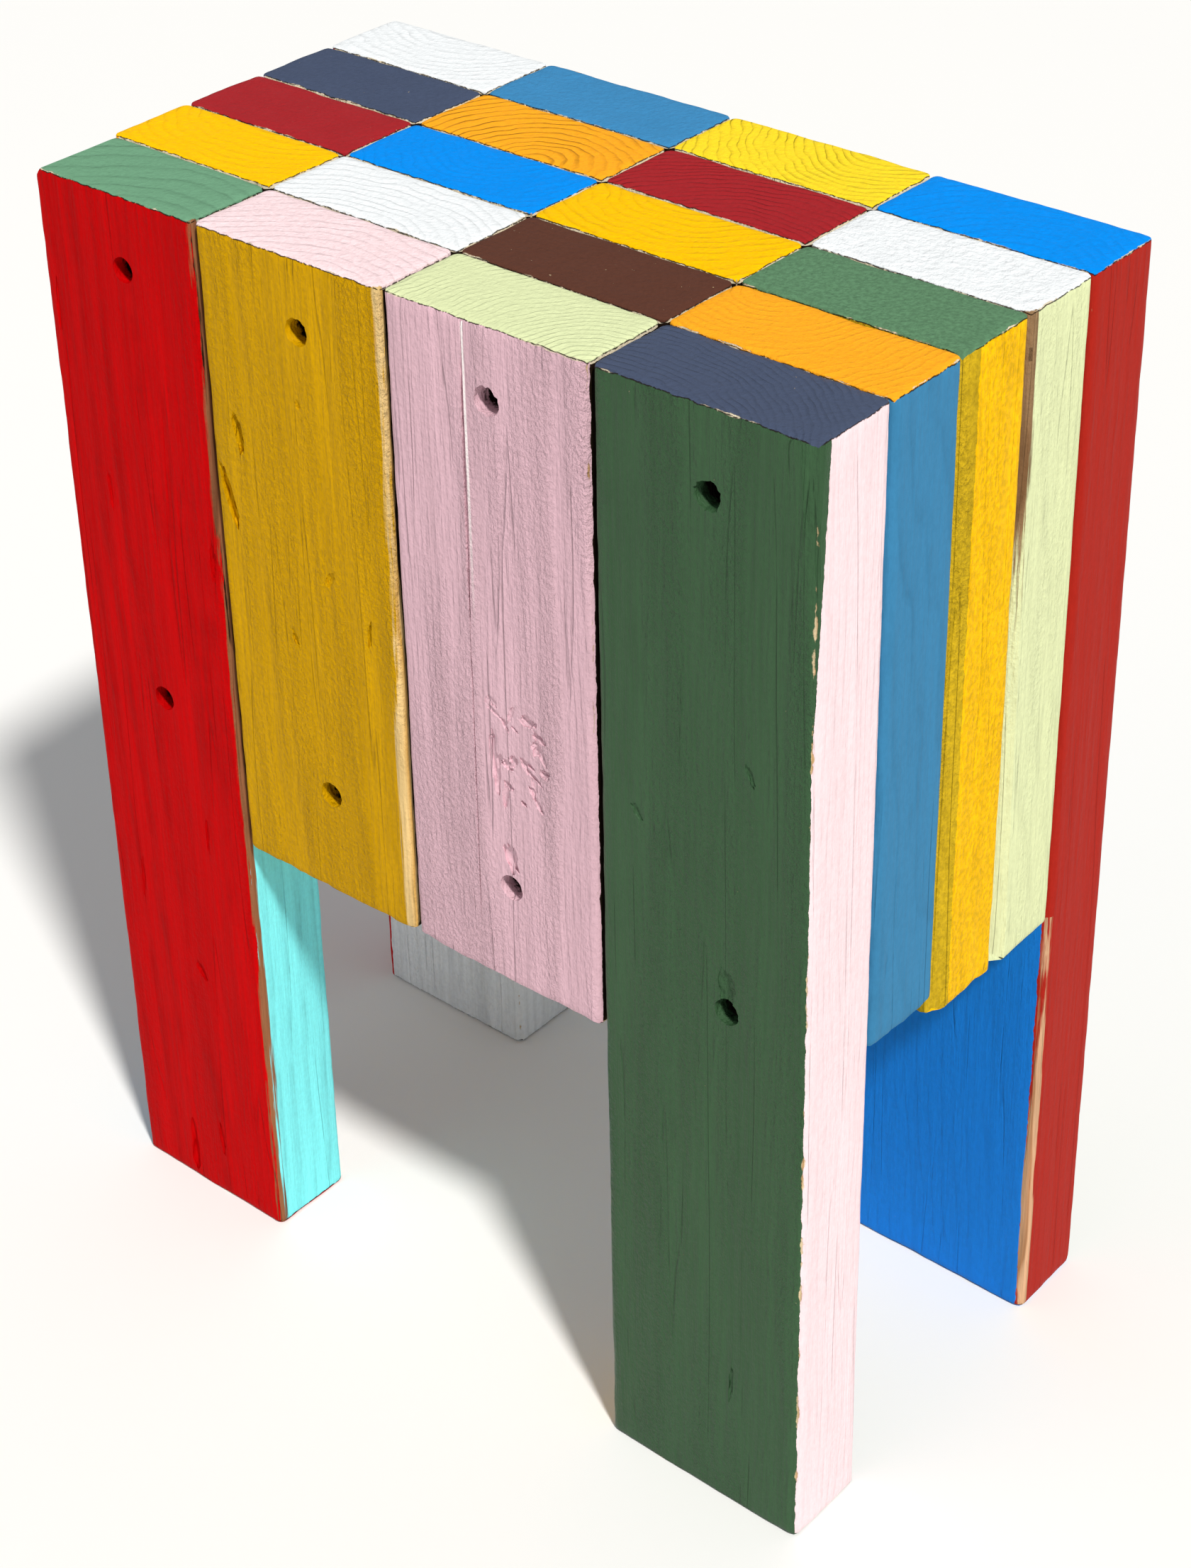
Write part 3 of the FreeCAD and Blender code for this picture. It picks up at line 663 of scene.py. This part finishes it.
blockDetails = {
    # gouges: mm right of the middle, mm above the lower end, (across, deep, long) in mm, lean in degrees
    # bareStrips: which front arris, how wide in mm, how much of it lies on the face round the corner,
    # and whether it runs the whole height or only down the leg
    # tornPatch: mm right of the middle, mm above the lower end, mm wide, mm high, number of tears
    "front_left_leg": {
        "endGrain": 0.8, "pith": (35, -60, 0.02, 0.01), "frontLap": 0.0,
        "bareStrips": [("right", 3.7, 1.25, "whole")],
        "ringWidth": 8.5,
        "finish": {"earlywood": "#9E6A48", "latewood": "#70462F", "streakTone": 0.14, "grainRelief": 0.4,
                   "sideTone": 0.16, "lineTone": 0.08, "specular": 0.02},
        "gouges": [(-10, 16, (5, 4, 32), 3), (8, 30, (3, 2, 16), -5), (-24, 150, (2.4, 1.8, 22), 2),
                   (36, 320, (3.4, 2.6, 17), 2), (-17, 332, (2.2, 1.6, 16), 0), (-35, 404, (1.8, 1.4, 24), 2),
                   (6, 118, (4.5, 2.2, 9), -30), (18, 190, (1.8, 1.4, 20), 1)],
    },
    "front_row_inner_left_block": {
        "endGrain": 0.6, "pith": (30, -55, 0.02, 0.01),
        "bareStrips": [("right", 3.8, 0.85, "whole")],
        "finish": {"earlywood": "#F0CE8E", "latewood": "#D9A95A", "grainRelief": 1.4, "streakTone": 0.13,
                   "mottleTone": 0.05},
        "raggedFoot": 1.6,
        "gouges": [(-29.3, 185, (4.6, 7, 18), -9), (-37, 158, (5, 7, 28), -13), (12, 140, (3.4, 2.4, 9), 30),
                   (-8, 108, (2.8, 2.2, 7), -20), (30, 124, (2.2, 1.8, 12), 5), (2, 206, (2.4, 1.6, 4), 0)],
    },
    "front_row_inner_right_block": {
        "endGrain": 0.5, "pith": (60, -20, 0.02, 0.02),
        "finish": {"grainRelief": 1.7, "streakTone": 0.08, "lineRelief": 0.45, "lineTone": 0.09},
        "raggedFoot": 1.4,
        "gouges": [(4.5, 56, (6, 3.4, 15), -18), (-1.5, 94, (4.2, 2.6, 30), -4), (3, 82, (3, 2, 12), 8),
                   (-9.8, 199, (1.5, 2.4, 140), 0.6), (-10.8, 84, (0.8, 1.6, 130), 0.4)],
        "tornPatch": (9, 101, 26, 38, 24),
        # a near-white painted highlight along a lip of paint beside the split
        "ridge": (-9.0, 15),
    },
    "front_right_leg": {
        "endGrain": 0.7, "pith": (-20, -70, 0.02, 0.0), "frontLap": 0.0,
        "waneLap": (6, 110), "chips": 0.755,
        "finish": {"grainRelief": 1.1, "edgeGrain": 0.25, "streakTone": 0.1, "lineTone": 0.09,
                   "specular": 0.16, "filmRough": 0.42},
        "gouges": [(11, 240, (6.5, 2.4, 17), 0), (20, 330, (2.6, 1.4, 9), -25), (-27, 296, (3, 1.6, 7), -35),
                   (14, 60, (2.2, 1.5, 16), 4)],
    },
    "second_row_outer_left_block": {"endGrain": 0.5},
    "second_row_inner_left_block": {"endGrain": 0.6, "pith": (10, -60, 0.01, 0.0)},
    "second_row_inner_right_block": {"endGrain": 0.15, "chips": 0.72},
    "second_row_outer_right_block": {
        "endGrain": 0.5, "raggedFoot": 3.0,
        "finish": {"grainRelief": 0.25, "sideTone": 0.1, "arrisRub": (0.6, 1.6)},
    },
    "middle_row_outer_left_block": {"endGrain": 0.12, "chips": 0.74},
    "middle_row_inner_left_block": {"endGrain": 0.35},
    "middle_row_inner_right_block": {"endGrain": 0.8},
    "middle_row_outer_right_block": {
        "endGrain": 0.2, "raggedFoot": 3.0, "frontLap": 9.0, "paintedJoints": ("front",),
        "finish": {"grainRelief": 1.3, "edgeGrain": 1.0, "brushRelief": 0.7, "streakTone": 0.12,
                   "sideTone": 0.12, "mottleTone": 0.12},
    },
    "fourth_row_outer_left_block": {"endGrain": 0.15, "chips": 0.74},
    "fourth_row_inner_left_block": {"endGrain": 1.5, "pith": (26, -16, 0.01, 0.02)},
    "fourth_row_inner_right_block": {"endGrain": 1.0},
    "fourth_row_outer_right_block": {
        "endGrain": 0.15, "bareStrips": [("right", 4.0, 1.1, "whole")],
        "finish": {"grainRelief": 0.9, "edgeGrain": 1.0, "brushRelief": 1.2, "earlywood": "#9C7C5A",
                   "latewood": "#7A5A3C"},
    },
    "back_left_leg": {"endGrain": 0.6},
    "back_row_inner_left_block": {"endGrain": 0.15},
    "back_row_inner_right_block": {"endGrain": 1.1, "pith": (30, 40, 0.01, 0.0)},
    "back_right_leg": {
        "endGrain": 0.35, "bareStrips": [("right", 3.4, 1.1, "leg")],
        "finish": {"earlywood": "#DDB08A", "latewood": "#B07E58", "grainRelief": 0.3, "arrisRub": (0.8, 1.9),
                   "streakTone": 0.04, "lineTone": 0.06, "broadRelief": 0.8},
    },
}
# slivers planed or split off an arris: three points, each (mm in from the right, mm back from the front,
# mm down from the top)
slivers = {
    "front_left_leg": ((77.5, 0, 0), (77.5, 38, 0), (82, 0, 6)),
    "front_right_leg": ((8.0, 0, 0), (0, 3.4, 0), (0, 0, 94)),
    "middle_row_outer_right_block": ((4.5, 0, 0), (0, 10, 0), (4.0, 0, 262)),
    "fourth_row_outer_right_block": ((2.0, 0, 0), (0, 2.4, 0), (5.5, 0, 200)),
}

# what a block is like where blockDetails says nothing else
usualDetails = {
    "endGrain": 0.5,  # how strongly the rings show on the sawn ends
    "chips": 0.8,  # the level of the fleck pattern above which the paint is chipped off
    "raggedFoot": 0.5,  # mm the saw tore out of the lower end
    "waneLap": (0, 10),  # mm more that the front's paint laps round at the top, and how far down it starts
    "bareStrips": [],
    "ridge": None,  # a painted highlight along a lip of paint: mm right of the middle, and mm above the middle where it fades out
    "gouges": [],
    "tornPatch": None,
    "paintedJoints": (),  # faces in a joint that were painted all the same
    "finish": {},  # what differs from enamelOnPine
}
faceOrder = ("top", "front", "right", "back", "left", "bottom")

print("blocks")
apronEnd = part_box(nodeName("middle", "inner_left"))[0].z / mm
for seed, (row, column) in enumerate([(row, column) for row in rows for column in columns], start=1):
    name = nodeName(row, column)
    low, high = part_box(name)
    middle = (low + high) / 2
    dice = random.Random(seed)
    details = dict(usualDetails, **blockDetails.get(name, {}))
    hasNeighbour = {
        "left": column != columns[0], "right": column != columns[-1],
        "front": row != rows[0], "back": row != rows[-1],
    }
    inset = blockForm["jointInset"]
    sideInset = blockForm["frontJointInset"] if row == "front" else inset
    look = {
        "seed": seed,
        "faces": dict(zip(faceOrder, blockPaints[name])),
        "joints": [face for face in hasNeighbour
                   if hasNeighbour[face] and face not in details["paintedJoints"]],
        "apron": apronEnd - middle.z / mm,
        "pith": (dice.uniform(-45, 45), dice.choice((-1, 1)) * dice.uniform(22, 60),
                 dice.uniform(-0.05, 0.05), dice.uniform(-0.05, 0.05)),
        "ringWidth": dice.uniform(2.8, 5.2),
        "topLap": dice.uniform(-0.2, 0.6),
        "frontLap": blockForm["jointLap"] if hasNeighbour["front"] else blockForm["outerLap"],
        "backLap": blockForm["jointLap"] if hasNeighbour["back"] else blockForm["outerLap"],
        "insets": [
            (sideInset * hasNeighbour["left"], sideInset * hasNeighbour["right"]),
            (inset * hasNeighbour["front"], inset * hasNeighbour["back"]),
            (0, 0),
        ],
    }
    look.update(details)
    piece = roughBlock("painted_" + name, low, high)
    wearBlock(piece, low, high, look)
    if name in slivers:
        splitOff(piece, *[Vector((high.x - inwards * mm, low.y + back * mm, high.z - down * mm))
                          for inwards, back, down in slivers[name]])
    cutters = screwHoleCutters(row, column, low, high, dice) + dowelHoleCutters(column, low, high, dice)
    gouges = list(look["gouges"])
    if look["tornPatch"]:
        right, above, wide, tall, tears = look["tornPatch"]
        for _ in range(tears):
            gouges.append((right + dice.uniform(-0.5, 0.5) * wide, above + dice.uniform(-0.5, 0.5) * tall,
                           (dice.uniform(1.4, 5.0), dice.uniform(1.4, 3.0), dice.uniform(3, 9)),
                           dice.uniform(-75, 35)))
    for number, (right, above, gougeSize, lean) in enumerate(gouges):
        place = (middle.x + right * mm, low.y, low.z + above * mm)
        subtractAll(piece, [gougeCutter(place, gougeSize, (0, lean, 0), seed * 10 + number)])
    subtractAll(piece, cutters)
    piece.data.materials.clear()
    piece.data.materials.append(paintedPine("enamelOnPine_" + name, low, high, look))
    onlySelect(piece)
    bpy.ops.object.shade_smooth_by_angle(angle=math.radians(35))
    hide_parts(name)
    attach(piece, "root")
    print(name, len(piece.data.polygons))


# screws and dowels

def zincPlatedSteel():
    # bright zinc on steel: a dull, slightly scratched metal
    material, tree = newMaterial("zincPlatedSteel")
    place = addNode(tree, "TexCoord", output="Object")
    scratch = addNode(tree, "TexNoise", {"Vector": place, "Scale": 900.0, "Detail": 3.0})  # about 1 mm apart
    rough = addNode(tree, "MapRange", {"Value": scratch, "To Min": 0.3, "To Max": 0.55})
    shader = addNode(tree, "BsdfPrincipled", {
        "Base Color": linearColour("#A7A49B"), "Metallic": 1.0, "Roughness": rough})
    addNode(tree, "OutputMaterial", {"Surface": shader}, None)
    return material


def beechDowel():
    # turned beech: pale, close grained, with short dark flecks along it
    material, tree = newMaterial("beechDowel")
    place = addNode(tree, "TexCoord", output="Object")
    flecksPerMetre = (60, 1400, 1400)  # flecks 17 mm long and 0.7 mm wide
    along = addNode(tree, "VectorMath", (place, flecksPerMetre), operation="MULTIPLY")
    grain = addNode(tree, "TexNoise", {"Vector": along, "Scale": 1.0, "Detail": 4.0})
    colour = addNode(tree, "Mix", {
        "Factor": grain, "A": linearColour("#C4935F"), "B": linearColour("#E7CBA0")},
        "Result", data_type="RGBA")
    shader = addNode(tree, "BsdfPrincipled", {"Base Color": colour, "Roughness": 0.7})
    addNode(tree, "OutputMaterial", {"Surface": shader}, None)
    return material


print("fasteners")
fastenerFinish = {"_screws": zincPlatedSteel(), "_dowels": beechDowel()}
for ending, finish in fastenerFinish.items():
    for name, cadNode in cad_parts.items():
        if name.endswith(ending):
            cadNode.data.materials.clear()
            cadNode.data.materials.append(finish)


# stage, light and camera

stage = {
    "floor": "#F3F3F2",
    "floorSize": 80,  # metres, so that its far edge is out of sight
    "key": "#FFFCF7",
    "sky": "#F2F5F8",
    "keyPower": 3.2,
    "keyFrom": (0.53, -0.28, 0.80),
    "keySoftness": 5.0,  # degrees the lamp covers
    "fillPower": 4.0,
    "fillPlace": (-1.0, -2.0, 1.2),
    "fillSize": 1.8,
    "skyStrength": 0.34,
}

print("stage")
bpy.ops.object.select_all(action="DESELECT")
bpy.ops.mesh.primitive_plane_add(size=stage["floorSize"])
floor = bpy.context.object
floor.name = "floor"
floorMaterial, floorTree = newMaterial("palePaper")
floorShader = addNode(floorTree, "BsdfPrincipled", {
    "Base Color": linearColour(stage["floor"]), "Roughness": 0.85})
addNode(floorTree, "OutputMaterial", {"Surface": floorShader}, None)
floor.data.materials.append(floorMaterial)


def addLight(name, kind, place, target, **settings):
    light = bpy.data.lights.new(name, kind)
    for setting, value in settings.items():
        setattr(light, setting, value)
    lamp = bpy.data.objects.new(name, light)
    bpy.context.scene.collection.objects.link(lamp)
    lamp.location = place
    lamp.rotation_euler = (Vector(target) - Vector(place)).to_track_quat("-Z", "Y").to_euler()


addLight("keyLight", "SUN", stage["keyFrom"], (0, 0, 0), energy=stage["keyPower"],
         angle=math.radians(stage["keySoftness"]), color=linearColour(stage["key"])[:3])
addLight("fillLight", "AREA", stage["fillPlace"], (0, 0, 0.25), energy=stage["fillPower"],
         shape="DISK", size=stage["fillSize"])
sky = bpy.data.worlds.new("softSky")
sky.use_nodes = True
sky.node_tree.nodes["Background"].inputs["Color"].default_value = linearColour(stage["sky"])
sky.node_tree.nodes["Background"].inputs["Strength"].default_value = stage["skyStrength"]
bpy.context.scene.world = sky
bpy.context.scene.view_settings.view_transform = "Standard"

view = {
    "place": (0.6276, -0.7290, 0.8693),  # metres
    "turn": (59.79, 1.02, 39.89),  # degrees about X, Y and Z
    "lens": 68.89,
    "shift": (0.001, -0.138),
}
camera = bpy.data.objects.new("camera", bpy.data.cameras.new("camera"))
bpy.context.scene.collection.objects.link(camera)
camera.location = view["place"]
camera.rotation_euler = Euler([math.radians(angle) for angle in view["turn"]])
camera.data.sensor_width = 36
camera.data.lens = view["lens"]
camera.data.shift_x, camera.data.shift_y = view["shift"]
camera.data.clip_start = 0.01
bpy.context.scene.camera = camera
